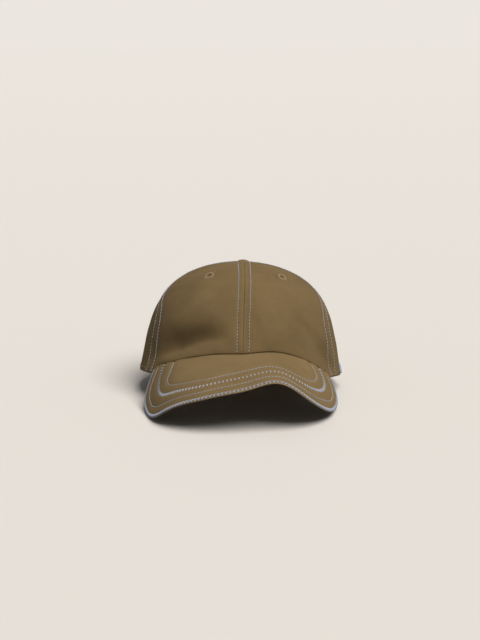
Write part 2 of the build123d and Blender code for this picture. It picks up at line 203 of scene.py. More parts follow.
def natural_spline(stations, values):
    """Smooth curve through the values, straight at its ends, as a function of arrays."""
    x = np.asarray(stations, float)
    y = np.asarray(values, float)
    step = np.diff(x)
    count = len(x)
    system = np.eye(count)
    right = np.zeros(count)
    for i in range(1, count - 1):
        system[i, i - 1] = step[i - 1]
        system[i, i] = 2 * (step[i - 1] + step[i])
        system[i, i + 1] = step[i]
        right[i] = 6 * ((y[i + 1] - y[i]) / step[i] - (y[i] - y[i - 1]) / step[i - 1])
    bend = np.linalg.solve(system, right)

    def value(at):
        at = np.asarray(at, float)
        i = np.clip(np.searchsorted(x, at) - 1, 0, count - 2)
        a = x[i + 1] - at
        b = at - x[i]
        h = step[i]
        curve = (bend[i] * a**3 + bend[i + 1] * b**3) / (6 * h)
        return curve + (y[i] / h - bend[i] * h / 6) * a + (y[i + 1] / h - bend[i + 1] * h / 6) * b

    return value


def smooth(value, low, high):
    """0 below low, 1 above high, and a smooth rise between."""
    t = np.clip((value - low) / (high - low), 0, 1)
    return t * t * (3 - 2 * t)


def bump(value, width):
    """1 at 0, falling smoothly over the width on both sides."""
    return np.exp(-((value / width) ** 2))


def waves(a, b, scale, seed):
    """Soft, seeded unevenness from about -1 to 1 over two coordinates."""
    source = np.random.default_rng(seed)
    total = np.zeros(np.broadcast(a, b).shape)
    for _ in range(6):
        turn, phase = source.uniform(0, 2 * math.pi, 2)
        pace = source.uniform(0.6, 1.5) / scale
        total += np.sin((a * np.cos(turn) + b * np.sin(turn)) * pace * 2 * math.pi + phase)
    return total / 4


def unit(vectors):
    """The vectors at length 1."""
    return vectors / np.maximum(np.linalg.norm(vectors, axis=-1, keepdims=True), 1e-9)


def eased(count):
    """0 to 1, closer together towards 1."""
    return np.sin(np.linspace(0, 1, count) * math.pi / 2)


def clustered(count, edge=2.2):
    """0 to 1, closer together towards both ends."""
    t = np.linspace(-1, 1, count)
    return (np.tanh(edge * t) / math.tanh(edge) + 1) / 2


def full_turn(count):
    """Even angles round a full turn."""
    return np.arange(count) / count * 2 * math.pi


def squarish(turn, power):
    """Level and upright places on a circle squared off by a power below 1."""
    return [np.sign(wave) * np.abs(wave) ** power for wave in (np.cos(turn), np.sin(turn))]


def travelled(points):
    """Distance along a line of points, from its first."""
    return np.cumsum(np.linalg.norm(np.diff(points, axis=0, prepend=points[:1]), axis=-1))


def to_row(points):
    """Crown-frame millimetres to row-frame metres."""
    points = np.asarray(points, float)
    matrix = np.array(TO_ROW)
    return (points * MM) @ matrix[:3, :3].T + matrix[:3, 3]


near_crown = natural_spline(ARCH_STATIONS, ARCH_AT_CROWN)
near_front = natural_spline(ARCH_STATIONS, ARCH_AT_FRONT)


def peak_height(x, y):
    """Height of the peak's upper face."""
    share = (y - CROWN_LINE_Y) / (FRONT_LINE_Y - CROWN_LINE_Y)
    return near_crown(x) * (1 - share) + near_front(x) * share


def base_crown(phi, h):
    """The crown's outer face before any dent, at an angle and a share of its height."""
    h = np.clip(h, 0, 1)
    flare = 1 - RIM_FLARE * (1 - np.exp(-h / FLARE_H))
    reach = (1 - WALL_LEAN * h) * np.sqrt(1 - h**ROUNDNESS) * flare
    length = np.where(np.cos(phi) > 0, FRONT_REACH, BACK_REACH)
    x = HALF_WIDTH * reach * np.sin(phi)
    y = -length * reach * np.cos(phi)
    return np.stack([x, y, HEIGHT * h], -1)


def folds(across, shapes):
    """Outward push of parallel folds, from the distance across them."""
    out = 0
    for push, middle, above, below in shapes:
        gap = across - middle
        out = out + push * bump(gap, np.where(gap > 0, above, below))
    return out


def crown(phi, h):
    """The crown's outer face with the soft dents of limp cloth."""
    phi, h = np.broadcast_arrays(np.asarray(phi, float), np.asarray(h, float))
    point = base_crown(phi, h)
    x, y, z = point[..., 0], point[..., 1], point[..., 2]
    front = smooth(-y, 18, 48)
    right = front * smooth(-x, 12, 44) * (1 - 0.85 * smooth(-x, 60, 80))
    valley = 40 + 0.1 * x - 0.0026 * x**2
    left = front * smooth(x, 30, 55) * smooth(-z, -62, -45)
    crease = (x - CREASE_MIDDLE[0]) * CREASE_ACROSS[0] + (z - CREASE_MIDDLE[1]) * CREASE_ACROSS[1]
    out = folds(z - valley, RIGHT_FOLDS) * right + folds(crease, LEFT_FOLDS) * left
    loose = smooth(h, 0, 0.15) * (1 - smooth(h, 0.85, 1))
    out = out + 0.7 * waves(phi * 80, z, scale=55, seed=3) * loose
    out = out * (1 - h**4)
    return point + np.stack([np.sin(phi) * out, -np.cos(phi) * out, 0 * out], -1)


def crown_normal(phi, h, turn=0.01, rise=0.004):
    """Outward unit normal of crown(), by small steps round and up."""
    around = crown(phi + turn, h) - crown(phi - turn, h)
    upward = crown(phi, np.clip(h + rise, 0, 1)) - crown(phi, np.clip(h - rise, 0, 1))
    return unit(np.cross(around, upward))


def lower_edge(phi):
    """Share of the height where the crown's cloth ends: the rim, or the peak's upper face."""
    highest = 0.5
    h = np.full(np.shape(phi), 0.1)
    for _ in range(25):
        point = crown(phi, h)
        forward = np.minimum(point[..., 1], CROWN_LINE_Y - 2)
        target = (peak_height(point[..., 0], forward) + PEAK_GAP) / HEIGHT
        h = 0.5 * h + 0.5 * np.clip(target, 0, highest)
    return np.where(np.cos(phi) > PEAK_SPREAD, np.clip(h, 0, highest), 0)


def gap_edge(phi):
    """Share of the height where the half-moon opening ends, 0 away from it."""
    x = np.abs(HALF_WIDTH * np.sin(phi))
    inside = np.clip(1 - (x / (GAP_HALF_WIDTH + BINDING)) ** 2, 0, 1)
    return np.where(np.cos(phi) < 0, (GAP_HEIGHT + BINDING) * np.sqrt(inside) / HEIGHT, 0)


def back_angle(x, h):
    """Angle at which the crown's back lies at a sideways place and a share of the height."""
    reach = np.maximum(base_crown(np.full(h.shape, math.pi / 2), h)[..., 0], 1)
    return math.pi - np.arcsin(np.clip(x / reach, -0.99, 0.99))


def seam_angle(name, h):
    """Angle of a seam, in radians, at shares of the height."""
    return np.radians(natural_spline(SEAM_HEIGHTS, SEAMS[name])(h))


def seam_distance(point, name):
    """Distance of points from a seam, measured level."""
    turn = seam_angle(name, np.clip(point[..., 2] / HEIGHT, 0, 1))
    return point[..., 0] * np.cos(turn) + point[..., 1] * np.sin(turn)


def beside_seam(name, h, offset):
    """Angles of the points a level distance beside a seam."""
    h, offset = np.broadcast_arrays(h, offset)
    turn = seam_angle(name, h)
    phi = turn
    for _ in range(6):
        point = crown(phi, h)
        reach = np.maximum(np.hypot(point[..., 0], point[..., 1]), np.abs(offset) + 0.7)
        phi = turn + np.arcsin(np.clip(offset / reach, -0.95, 0.95))
    return phi


# ---- mesh helpers


def make_piece(name, node, slot_name, material, points, faces, uvs=None):
    """A mesh object from crown-frame points, with one UV per point, parented to the cap's body and
    hiding the imported part it stands for.
    """
    mesh = bpy.data.meshes.new(name)
    mesh.from_pydata(to_row(points).tolist(), [], faces)
    if uvs is not None:
        layer = mesh.uv_layers.new(name="cloth")
        loops = np.empty(len(mesh.loops), np.int32)
        mesh.loops.foreach_get("vertex_index", loops)
        layer.data.foreach_set("uv", np.asarray(uvs, np.float32)[loops].ravel())
    mesh.polygons.foreach_set("use_smooth", np.ones(len(mesh.polygons), bool))
    piece = bpy.data.objects.new(name, mesh)
    bpy.context.scene.collection.objects.link(piece)
    piece.data.materials.append(material)
    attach(piece, "cap")
    if node:
        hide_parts(node)
    return piece


def set_wear(piece, values):
    """Store how rubbed each vertex is, which the cloth material reads."""
    attribute = piece.data.attributes.new("wear", "FLOAT", "POINT")
    attribute.data.foreach_set("value", np.asarray(values, np.float32).ravel())


def closed_sheet(outer, inner, uv):
    """Points, faces and UVs of the closed solid between two grids of points."""
    rows, columns = outer.shape[:2]
    count = rows * columns
    grid = np.arange(count).reshape(rows, columns)
    top = np.stack([grid[:-1, :-1], grid[:-1, 1:], grid[1:, 1:], grid[1:, :-1]], -1)
    top = top.reshape(-1, 4)
    bottom = top[:, ::-1] + count
    rim = np.concatenate([grid[0, :], grid[1:, -1], grid[-1, -2::-1], grid[-2:0:-1, 0]])
    following = np.roll(rim, -1)
    sides = np.stack([rim, rim + count, following + count, following], -1)
    points = np.concatenate([outer.reshape(-1, 3), inner.reshape(-1, 3)])
    uvs = np.concatenate([uv.reshape(-1, 2), uv.reshape(-1, 2)])
    return points, np.concatenate([top, bottom, sides]).tolist(), uvs


def ring_faces(rings, sides, closed=False, turned=False):
    """Four-cornered faces between rings of points, the last ring joined to the first if closed."""
    base = np.arange(rings * sides).reshape(rings, sides)
    beside = np.roll(base, -1, 1)
    faces = np.stack([base, beside, np.roll(beside, -1, 0), np.roll(base, -1, 0)], -1)
    if not closed:
        faces = faces[:-1]
    if turned:
        faces = faces[..., [0, 3, 2, 1]]
    return faces.reshape(-1, 4)


def rise_over_crown(h):
    """Distance from the rim up over the crown's side to a share of its height."""
    steps = eased(400)
    side = base_crown(np.full(steps.shape, math.pi / 2), steps)
    return np.interp(h, steps, travelled(side))


def crown_patch(
    name, node, slot_name, material, phi, h, depth, thickness, relief=0, wear=None
):
    """A closed piece of cloth on the crown: grids of angle and height share, depth inside it."""
    normal = crown_normal(phi, h)
    point = crown(phi, h)
    outer = point - normal * np.broadcast_to(depth, h.shape)[..., None]
    outer = outer + normal * np.broadcast_to(relief, h.shape)[..., None]
    inner = outer - normal * thickness
    along = (phi - phi.mean()) * np.hypot(point[..., 0], point[..., 1])
    uv = np.stack([along, rise_over_crown(h)], -1) * MM
    piece = make_piece(name, node, slot_name, material, *closed_sheet(outer, inner, uv))
    if wear is not None:
        set_wear(piece, np.concatenate([wear.ravel(), wear.ravel() * 0]))


def thread_tubes(starts, ends, normals, radius, lift):
    """Closed tubes for many stitches, each arched over the cloth between two points."""
    t = np.linspace(0, 1, THREAD_RINGS)
    arch = np.sin(math.pi * t)
    sunk = 0.7 * radius
    line = starts[:, None] * (1 - t)[:, None] + ends[:, None] * t[:, None]
    line = line + normals[:, None] * (arch * (lift + radius) - sunk)[:, None]
    along = unit(ends - starts)
    across = unit(np.cross(along, normals))
    up = np.cross(across, along)
    size = radius * (0.45 + 0.55 * np.sqrt(arch))
    turn = full_turn(THREAD_SIDES)
    ring = (
        across[:, None, None] * np.cos(turn)[:, None] + up[:, None, None] * np.sin(turn)[:, None]
    )
    points = line[:, :, None] + ring * size[:, None, None]
    wall = ring_faces(THREAD_RINGS, THREAD_SIDES)
    count = THREAD_RINGS * THREAD_SIDES
    caps = (range(THREAD_SIDES - 1, -1, -1), range(count - THREAD_SIDES, count))
    faces = []
    for shift in range(0, len(starts) * count, count):
        faces.extend((wall + shift).tolist())
        faces.extend([[i + shift for i in cap] for cap in caps])
    return points.reshape(-1, 3), faces


def spaced(points, normals, pitch):
    """Points and unit normals at an even pitch along a line of points."""
    travel = travelled(points)
    at = np.arange(0, travel[-1], pitch)
    place, facing = (
        np.stack([np.interp(at, travel, line[:, k]) for k in range(3)], -1)
        for line in (points, normals)
    )
    return place, unit(facing)


def run_axes(place, facing):
    """Directions along a run of stitches and level across it."""
    along = unit(np.gradient(place, axis=0))
    return along, np.cross(facing, along)


def straight_stitches(points, normals, pitch=3.0, gap=0.55, radius=0.3, lift=0.28):
    """A run of lockstitch along a line of points."""
    place, facing = spaced(points, normals, pitch)
    starts, ends = place[:-1], place[1:]
    share = gap / pitch
    jitter = RANDOM.normal(0, 0.05, (len(starts), 3))
    starts = starts + (ends - starts) * share / 2 + jitter
    ends = ends - (ends - starts) * share / 2 + jitter
    return thread_tubes(starts, ends, unit(facing[:-1] + facing[1:]), radius, lift)


def zigzag_stitches(points, normals, pitch=3.5, reach=2.1, slant=0.36, radius=0.4, lift=0.35):
    """A run of thick zigzag: a steep stitch out and a slanted one back, over and over."""
    place, facing = spaced(points, normals, pitch)
    along, across = run_axes(place, facing)
    across = unit(across)
    outer = place - across * (reach + RANDOM.normal(0, 0.08, (len(place), 1)))
    inner = place + along * pitch * slant + across * reach
    starts = np.concatenate([outer[:-1], inner[:-1]])
    ends = np.concatenate([inner[:-1], outer[1:]])
    return thread_tubes(starts, ends, np.concatenate([facing[:-1]] * 2), radius, lift)


def bar_stitches(points, normals, pitch=3.5, reach=2.3, slant=0.7, radius=0.58, lift=0.25):
    """A run of thick separate stitches straight across a line of points."""
    place, facing = spaced(points, normals, pitch)
    along, across = run_axes(place, facing)
    reach = reach + RANDOM.normal(0, 0.1, (len(place), 1))
    starts = place - across * reach - along * slant / 2
    ends = place + across * reach + along * slant / 2
    return thread_tubes(starts, ends, facing, radius, lift)


def thread_piece(name, node, slot_name, material, runs):
    """One piece of all the stitches in several runs."""
    points, faces, start = [], [], 0
    for run_points, run_faces in runs:
        points.append(run_points)
        faces.extend([[i + start for i in face] for face in run_faces])
        start += len(run_points)
    make_piece(name, node, slot_name, material, np.concatenate(points), faces)


# ---- materials

WAVE_PITCH = 0.314  # metres between the bands of a wave texture at scale 1


class Nodes:
    """Short calls for building one material's node tree."""

    def __init__(self, name):
        self.material = bpy.data.materials.new(name)
        self.material.use_nodes = True
        self.tree = self.material.node_tree
        self.shader = self.tree.nodes["Principled BSDF"]

    def feed(self, node, inputs):
        """Link a node's inputs to other nodes' outputs, or set them to plain values."""
        for key, value in inputs.items():
            if isinstance(value, bpy.types.NodeSocket):
                self.tree.links.new(value, node.inputs[key])
            else:
                node.inputs[key].default_value = value

    def add(self, kind, inputs, **settings):
        """A new node with its settings and inputs."""
        node = self.tree.nodes.new(kind)
        for key, value in settings.items():
            setattr(node, key, value)
        self.feed(node, inputs)
        return node

    def place(self):
        """The object's own coordinates."""
        return self.add("ShaderNodeTexCoord", {}).outputs["Object"]

    def noise(self, vector, scale, detail, roughness=0.5):
        """Cloudy noise from 0 to 1."""
        inputs = {"Vector": vector, "Scale": scale, "Detail": detail, "Roughness": roughness}
        return self.add("ShaderNodeTexNoise", inputs).outputs["Fac"]

    def bands(self, vector, direction, scale, distortion, detail_scale=1.0):
        """Wavering parallel bands from 0 to 1."""
        inputs = {
            "Vector": vector,
            "Scale": scale,
            "Distortion": distortion,
            "Detail Scale": detail_scale,
        }
        node = self.add("ShaderNodeTexWave", inputs, wave_type="BANDS", bands_direction=direction)
        return node.outputs["Fac"]

    def mapped(self, value, **limits):
        """A value carried from one range to another, such as from_min=0.3, to_max=0.6."""
        inputs = {key.replace("_", " ").title(): limit for key, limit in limits.items()}
        return self.add("ShaderNodeMapRange", {"Value": value, **inputs}).outputs["Result"]

    def mix(self, factor, first, second):
        """A colour between two."""
        inputs = {0: factor, 6: first, 7: second}
        return self.add("ShaderNodeMix", inputs, data_type="RGBA").outputs[2]

    def multiply(self, first, second):
        """The product of two values."""
        return self.add("ShaderNodeMath", {0: first, 1: second}, operation="MULTIPLY").outputs[0]

    def bump(self, height, distance, strength=1.0, **normal):
        """A normal that follows a height, on top of another normal where one is given."""
        inputs = {"Height": height, "Distance": distance, "Strength": strength}
        inputs.update({key.title(): value for key, value in normal.items()})
        return self.add("ShaderNodeBump", inputs).outputs["Normal"]

    def surface(self, inputs):
        """Set the shader's inputs and return the finished material."""
        self.feed(self.shader, inputs)
        return self.material


def srgb(red, green, blue):
    """Linear colour from screen values out of 255."""
    channels = []
    for value in (red, green, blue):
        share = value / 255
        low = share <= 0.04045
        channels.append(share / 12.92 if low else ((share + 0.055) / 1.055) ** 2.4)
    return (*channels, 1.0)


def twill(name, colour, shade, light, rib=0.00085):
    """Washed cotton twill: diagonal ribs, slubs, cloudy fading and paler rubbed edges."""
    n = Nodes(name)
    uv = n.add("ShaderNodeUVMap", {}, uv_map="cloth").outputs["UV"]
    diagonal = {"Vector": uv, "Rotation": (0, 0, math.radians(38))}
    across = n.add("ShaderNodeMapping", diagonal).outputs["Vector"]
    ribs = n.bands(across, "X", WAVE_PITCH / rib, distortion=1.6, detail_scale=1.5)
    place = n.place()
    cloud = n.noise(place, scale=28.0, detail=5.0, roughness=0.6)
    slub = n.noise(place, scale=900.0, detail=3.0)
    rubbed = n.add("ShaderNodeAttribute", {}, attribute_name="wear").outputs["Fac"]
    body = n.mix(n.mapped(cloud, from_min=0.35, from_max=0.65), shade, colour)
    for paler, share in ((slub, 0.35), (ribs, 0.22), (rubbed, 0.55)):
        body = n.mix(n.multiply(paler, share), body, light)
    normal = n.bump(ribs, 0.00012, 0.9)
    normal = n.bump(slub, 0.00012, 0.7, normal=normal)
    normal = n.bump(cloud, 0.0008, 0.5, normal=normal)
    return n.surface(
        {
            "Base Color": body,
            "Roughness": 0.93,
            "Specular IOR Level": 0.18,
            "Sheen Weight": 0.12,
            "Sheen Roughness": 0.5,
            "Sheen Tint": light,
            "Normal": normal,
        }
    )


def thread(name, colour, shade):
    """Twisted sewing thread with a slight sheen."""
    n = Nodes(name)
    place = n.place()
    twist = n.bands(place, "DIAGONAL", 900.0, distortion=2.0)
    cloud = n.noise(place, scale=160.0, detail=2.0)
    return n.surface(
        {
            "Base Color": n.mix(n.multiply(cloud, 0.8), colour, shade),
            "Roughness": 0.6,
            "Sheen Weight": 0.2,
            "Normal": n.bump(twist, 0.00008),
        }
    )


def plain_weave(name, colour, shade, pitch=0.0009):
    """Fine plain weave for bands, tapes and labels."""
    n = Nodes(name)
    place = n.place()
    warp, weft = (n.bands(place, way, WAVE_PITCH / pitch, distortion=1.2) for way in ("X", "Z"))
    cloud = n.noise(place, scale=60.0, detail=4.0)
    return n.surface(
        {
            "Base Color": n.mix(cloud, colour, shade),
            "Roughness": 0.85,
            "Sheen Weight": 0.1,
            "Normal": n.bump(n.multiply(warp, weft), 0.0001),
        }
    )


def metal(name, colour, shade, roughness):
    """Brushed, slightly tarnished metal."""
    n = Nodes(name)
    place = n.place()
    stretch = n.add("ShaderNodeMapping", {"Vector": place, "Scale": (40, 40, 900)})
    brush = n.noise(stretch.outputs["Vector"], scale=2.0, detail=3.0)
    cloud = n.noise(place, scale=180.0, detail=4.0)
    return n.surface(
        {
            "Base Color": n.mix(cloud, colour, shade),
            "Metallic": 1.0,
            "Roughness": n.mapped(cloud, to_min=roughness - 0.08, to_max=roughness + 0.12),
            "Normal": n.bump(brush, 0.00006),
        }
    )


# The crown's twill and the peak's upper twill are one cloth in two tones. This is painted light:
# the peak's copy is lighter and the crown's darker, standing in for the stronger light on the
# peak's level face than on the crown's upright sides.
TWILL = twill("olive_brown_twill", srgb(114, 92, 58), srgb(98, 78, 47), srgb(150, 128, 92))
PEAK_TWILL_PAINTED_LIGHTER = twill("peak_top_twill_painted_lighter", srgb(123, 100, 65), srgb(108, 87, 54), srgb(158, 136, 98))
BOTTOM_TWILL = twill("peak_under_twill", srgb(80, 69, 56), srgb(66, 57, 46), srgb(104, 92, 76))
CONTRAST = thread("contrast_thread", srgb(190, 196, 208), srgb(150, 156, 172))
TONAL = thread("tonal_thread", srgb(150, 126, 88), srgb(122, 98, 64))
BAND_CLOTH = plain_weave("sweatband_cloth", srgb(104, 84, 54), srgb(88, 70, 44))
TAPE_CLOTH = plain_weave("seam_tape_cloth", srgb(110, 90, 60), srgb(92, 74, 48), 0.0012)
LABEL_CLOTH = plain_weave("label_cloth", srgb(228, 224, 214), srgb(214, 208, 196), 0.0005)
TAB_CLOTH = plain_weave("side_tab_cloth", srgb(176, 196, 222), srgb(160, 180, 210), 0.0006)
BRASS = metal("antique_brass", srgb(176, 146, 96), srgb(120, 94, 58), 0.34)
STEEL = metal("tinned_steel", srgb(190, 190, 188), srgb(150, 150, 150), 0.3)
BOARD_PLASTIC = plain_weave("peak_board_plastic", srgb(226, 224, 216), srgb(214, 212, 204), 0.003)


# ---- the crown


def panel_relief(point, seams, edge_height):
    """How far a panel's cloth stands out, and how rubbed it is, near its seams and lower edge."""
    x, y, z = point[..., 0], point[..., 1], point[..., 2]
    out = 0.18 * waves(x + y, z, scale=22, seed=11)
    wear = np.zeros(x.shape)
    for number, name in enumerate(seams):
        gap = np.abs(seam_distance(point, name))
        beyond = gap - STITCH_OFFSET
        pucker = waves(z + 0.3 * x, gap * 3, scale=9, seed=number + len(name))
        out = out - 0.5 * bump(gap, 0.45)
        out = out + 0.16 * smooth(-beyond, -0.4, 1.8)
        out = out - 0.22 * bump(beyond, 0.7)
        out = out + 0.17 * pucker * bump(beyond, 3.6)
        wear = np.maximum(wear, 0.3 * bump(gap - 1.2, 0.8))
        wear = np.maximum(wear, 0.25 * bump(beyond - 0.9, 0.5))
    rise = z - edge_height
    out = out - 0.8 * bump(rise, 1.4)
    wear = np.maximum(wear, 0.7 * bump(rise - 1.2, 1.0))
    return out, wear


def make_panels():
    """The six panels, each its own closed piece of cloth."""
    share = clustered(84)[None, :]
    rise = eased(130)[:, None]
    for name, (first, second) in PANELS.items():
        h = rise * TOP_H + 0 * share
        for _ in range(4):
            start, end = seam_angle(first, h), seam_angle(second, h)
            end = np.where(end < start, end + 2 * math.pi, end)
            phi = start + (end - start) * share
            low = np.maximum(lower_edge(phi[0]), gap_edge(phi[0]))
            h = low + (TOP_H - low) * rise
        relief, wear = panel_relief(crown(phi, h), (first, second), low * HEIGHT)
        crown_patch(name + "_cloth", name, "twill", TWILL, phi, h, 0.0, CLOTH, relief, wear)


def seam_line(name, offset, clear, top_reach):
    """Points and normals of a line beside a seam, from the lower edge to near the button."""
    h = eased(260)
    phi = beside_seam(name, h, offset)
    low = np.maximum(lower_edge(phi), gap_edge(phi))
    point = crown(phi, h)
    keep = (h > low + clear) & (np.hypot(point[:, 0], point[:, 1]) > top_reach)
    phi, h = phi[keep], h[keep]
    return crown(phi, h), crown_normal(phi, h)


def make_topstitch():
    """A row of contrast stitching on each side of every seam."""
    runs = []
    for name in SEAMS:
        for side in (-1, 1):
            line = seam_line(name, side * STITCH_OFFSET, clear=0.006, top_reach=8.5)
            runs.append(straight_stitches(*line))
    thread_piece("crown_topstitching", "crown_topstitch", "contrast_thread", CONTRAST, runs)


def make_eyelets():
    """Embroidered eyelets, one on each panel: satin-stitched rings round a small hole."""
    around, across = 4 * EYELET_STITCHES, 14
    turn = full_turn(around)
    roll = full_turn(across)
    stitches = np.sign(np.sin(turn * EYELET_STITCHES))[:, None]
    groove = 1 + 0.1 * stitches * np.maximum(np.sin(roll), 0)
    wall = ring_faces(around, across, closed=True, turned=True).tolist()
    runs = []
    for angle, height, size, lean in EYELETS:
        phi, h = np.array([math.radians(angle)]), np.array([height])
        centre = crown(phi, h)[0]
        level = np.array([math.sin(phi[0]), -math.cos(phi[0]), 0])
        normal = unit(crown_normal(phi, h)[0] * (1 - lean) + level * lean)
        side = unit(np.cross([0, 0, 1.0], normal))
        up = np.cross(normal, side)
        ray = side * np.cos(turn)[:, None] + up * np.sin(turn)[:, None]
        reach = (EYELET_RADIUS + EYELET_WIDTH * np.cos(roll) * groove) * size
        lift = 0.15 + EYELET_RISE * np.sin(roll) * groove
        points = centre + ray[:, None] * reach[..., None] + normal * lift[..., None]
        runs.append((points.reshape(-1, 3), wall))
    thread_piece("eyelet_stitching", "eyelets", "eyelet_thread", TONAL, runs)


def make_button():
    """Cloth-covered button: a domed cap with a gathered edge."""
    sides, gathers, curve = 72, 13, 2.6
    arc = np.linspace(0.02, 1, 16)
    inner_radius = BUTTON_RADIUS - BUTTON_CLOTH
    inner_drop = BUTTON_DROP - BUTTON_CLOTH / 2
    outside = [(BUTTON_RADIUS * a, BUTTON_TOP - BUTTON_DROP * a**curve) for a in arc]
    inside = [
        (inner_radius * a, BUTTON_TOP - BUTTON_CLOTH - inner_drop * a**curve) for a in arc[::-1]
    ]
    reach, height = np.repeat(np.array(outside + inside), sides, axis=0).T
    turn = np.tile(full_turn(sides), 2 * len(arc))
    height = height + 0.12 * np.sin(turn * gathers) * smooth(reach, 4.2, 6.4)
    points = np.stack([reach * np.cos(turn), reach * np.sin(turn), height], -1)
    faces = ring_faces(2 * len(arc), sides, closed=True).tolist()
    uv = points[:, :2] * MM
    piece = make_piece("button_cloth", "button_cover", "twill", TWILL, points, faces, uv)
    set_wear(piece, bump(reach - 5.2, 1.2) * 0.5)


# ---- inside the crown


def level_band(start, end, low, high, columns, rows):
    """Angles and height shares of a band, in degrees and in millimetres over the lower edge."""
    phi = np.radians(np.linspace(start, end, columns))[None, :] * np.ones((rows, 1))
    edge = lower_edge(phi[0])[None, :] * HEIGHT
    return phi, (edge + np.linspace(low, high, rows)[:, None]) / HEIGHT


def make_seam_tapes():
    """Tape over each seam, hollowed where it bridges the seam's folded cloth."""
    offset = np.linspace(-TAPE_HALF, TAPE_HALF, 9)[None, :]
    rise = eased(70)[:, None]
    top = 0.965
    for number, name in enumerate(SEAMS):
        foot = seam_angle(name, np.array([0.1]))
        low = max(float(lower_edge(foot)[0]), float(gap_edge(foot)[0]))
        low += 0.015 if name == "back" else 0.1
        h = low + (top - low) * rise + 0 * offset
        phi = beside_seam(name, h, offset)
        depth = TAPE_DEPTH + 0.5 * bump(offset, 2.0)
        node = "seam_tapes" if number == 0 else None
        crown_patch(
            f"seam_tape_{name}", node, "seam_tape", TAPE_CLOTH, phi, h, depth, TAPE_THICK
        )


def make_band():
    """The rim tape, the sweatband and its two rows of stitching."""
    slot_name = "sweatband_cloth"
    phi, h = level_band(-148, 148, 0.5, 9, 240, 6)
    layer = (RIM_TAPE_DEPTH, RIM_TAPE_THICK)
    crown_patch("rim_tape_cloth", "rim_tape", slot_name, TAPE_CLOTH, phi, h, *layer)
    rows = 26
    phi, h = level_band(-BAND_END, BAND_END, 0.6, BAND_HIGH, 300, rows)
    share = np.linspace(0, 1, rows)[:, None]
    ripple = 0.35 * waves(phi * 90, share * 20, scale=40, seed=21)
    depth = BAND_DEPTH + 0.7 * share + ripple * share
    crown_patch("sweatband_cloth", "sweatband", slot_name, BAND_CLOTH, phi, h, depth, BAND_THICK)
    runs = []
    for height, line_depth in ((4.0, 3.78), (BAND_HIGH - 2.5, 4.46)):
        phi = np.radians(np.linspace(1 - BAND_END, BAND_END - 1, 700))
        h = lower_edge(phi) + height / HEIGHT
        normals = crown_normal(phi, h)
        points = crown(phi, h) - normals * line_depth
        run = straight_stitches(points, -normals, pitch=3.2, gap=0.6, radius=0.28, lift=0.25)
        runs.append(run)
    thread_piece("sweatband_stitching", None, "eyelet_thread", TONAL, runs)


def make_labels():
    """Blank size and care labels sewn inside the sweatband."""
    for name, angle, half_width, low, high in (
        ("size_label", 138, 8, 8, 25),
        ("care_label", 100, 13, 4, 30),
    ):
        reach = math.degrees(half_width / LABEL_RADIUS)
        phi, h = level_band(angle - reach, angle + reach, low, high, 20, 14)
        crown_patch(
            name + "_cloth", name, "label_cloth", LABEL_CLOTH, phi, h, LABEL_DEPTH, LABEL_THICK
        )


# ---- lower edge and opening


def make_rim_stitch():
    """Stitching just above the lower edge, behind the peak."""
    runs = []
    for start, end in ((66, 148), (-148, -70)):
        phi = np.radians(np.linspace(start, end, 300))
        h = np.full(phi.shape, RIM_STITCH_HEIGHT / HEIGHT)
        runs.append(straight_stitches(crown(phi, h), crown_normal(phi, h)))
    thread_piece("rim_stitching", "rim_stitch", "eyelet_thread", TONAL, runs)


def gap_line(outward, depth):
    """Points and normals of a line on the crown round the half-moon opening."""
    turn = np.linspace(0, math.pi, 260)
    h = (GAP_HEIGHT + outward) * np.sin(turn) / HEIGHT
    phi = back_angle((GAP_HALF_WIDTH + outward) * np.cos(turn), h)
    normals = crown_normal(phi, h)
    return crown(phi, h) - normals * depth, normals


def make_opening_stitch():
    """Contrast stitching just outside the opening's binding."""
    run = straight_stitches(*gap_line(BINDING + 3.2, 0))
    thread_piece("opening_stitching", None, "contrast_thread", CONTRAST, [run])


def make_binding():
    """Folded cloth binding round the half-moon opening."""
    sides = 14
    line, normals = gap_line(1.6, 0.5)
    turn = full_turn(sides)
    wide, high = squarish(turn, 0.7)
    across = run_axes(line, normals)[1]
    points = line[:, None] + across[:, None] * BINDING_HALF * wide[:, None]
    points = points + normals[:, None] * BINDING_RISE * high[:, None]
    points = points.reshape(-1, 3)
    count = len(line) * sides
    faces = ring_faces(len(line), sides, turned=True).tolist()
    faces += [list(range(sides)), list(range(count - 1, count - sides - 1, -1))]
    travel = np.cumsum(np.linalg.norm(np.gradient(line, axis=0), axis=1))
    uv = np.stack([np.repeat(travel, sides), np.tile(turn * 1.5, len(line))], -1) * MM
    piece = make_piece(
        "opening_binding_cloth", "back_arch_binding", "twill", TWILL, points, faces, uv
    )
    set_wear(piece, np.full(count, 0.25))


# ---- the peak

outline_reach = travelled(np.array(PEAK_OUTLINE, float))
outline_x = natural_spline(outline_reach, [p[0] for p in PEAK_OUTLINE])
outline_y = natural_spline(outline_reach, [p[1] for p in PEAK_OUTLINE])
row_crowding = natural_spline(CROWDING_ANGLES, CROWDING)
ROOT_Y = PEAK_OUTLINE[0][1]


def peak_plan(share, draw):
    """Plan point on the outline, drawn in towards the middle of the peak's root."""
    x = outline_x(share * outline_reach[-1])
    y = outline_y(share * outline_reach[-1])
    return x * (1 - draw), ROOT_Y + (y - ROOT_Y) * (1 - draw)


def peak_face(share, draw):
    """Point on the peak's upper face."""
    x, y = peak_plan(share, draw)
    return np.stack([x, y, peak_height(x, y)], -1)


def peak_normal(share, draw):
    """Upward unit normal of the peak's upper face."""
    x, y = peak_plan(share, draw)
    slope_x = peak_height(x + 0.5, y) - peak_height(x - 0.5, y)
    slope_y = peak_height(x, y + 0.5) - peak_height(x, y - 0.5)
    return unit(np.stack([-slope_x, -slope_y, np.ones_like(slope_x)], -1))


EDGE = peak_face(np.linspace(-0.03, 1.03, 1500), 0)


